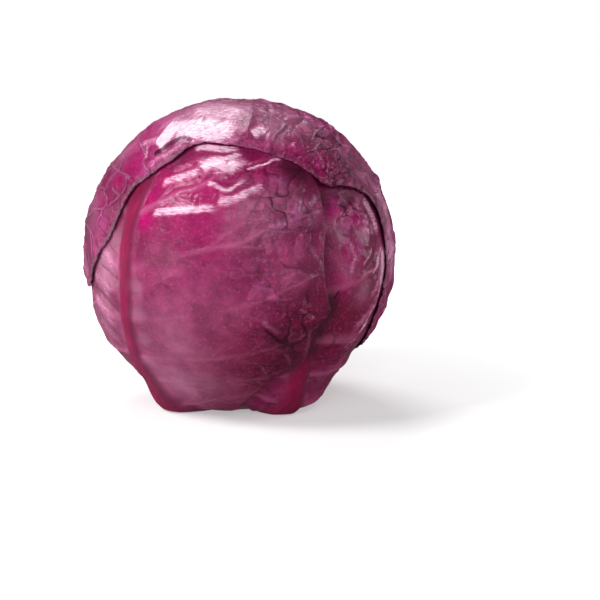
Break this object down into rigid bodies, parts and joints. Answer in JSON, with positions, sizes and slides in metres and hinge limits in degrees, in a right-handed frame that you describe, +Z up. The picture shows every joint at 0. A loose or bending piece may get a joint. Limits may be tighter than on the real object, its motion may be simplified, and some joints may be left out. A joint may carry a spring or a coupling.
{
  "type": "red cabbage",
  "caption": "Whole round head of red cabbage with overlapping ribbed leaves, standing on its flat cut stump.",
  "frame": {"origin": "centre of the cut stump's flat face, where the head stands", "axes": "+Z up along the stalk, -Y towards the viewer of the picture, +X to that viewer's right"},
  "size_m": [0.1603, 0.1613, 0.1578],
  "materials": {
    "stem_flesh": "matt cut stalk, pale with a woody ring",
    "inner_leaf": "satin inner leaves",
    "dark_leaf": "satin dark magenta leaf with pale side veins",
    "satin_leaf": "satin magenta leaf with a thin lilac bloom and a redder midrib",
    "pale_leaf": "waxy pale magenta leaf with a raised pale net of veins"
  },
  "bodies": {
    "root": {"stem": "stem_flesh", "heart": "inner_leaf", "leaf_back": "dark_leaf", "leaf_left": "dark_leaf", "leaf_right": "dark_leaf", "leaf_front": "satin_leaf", "leaf_cap": "pale_leaf"}
  },
  "joints": []
}
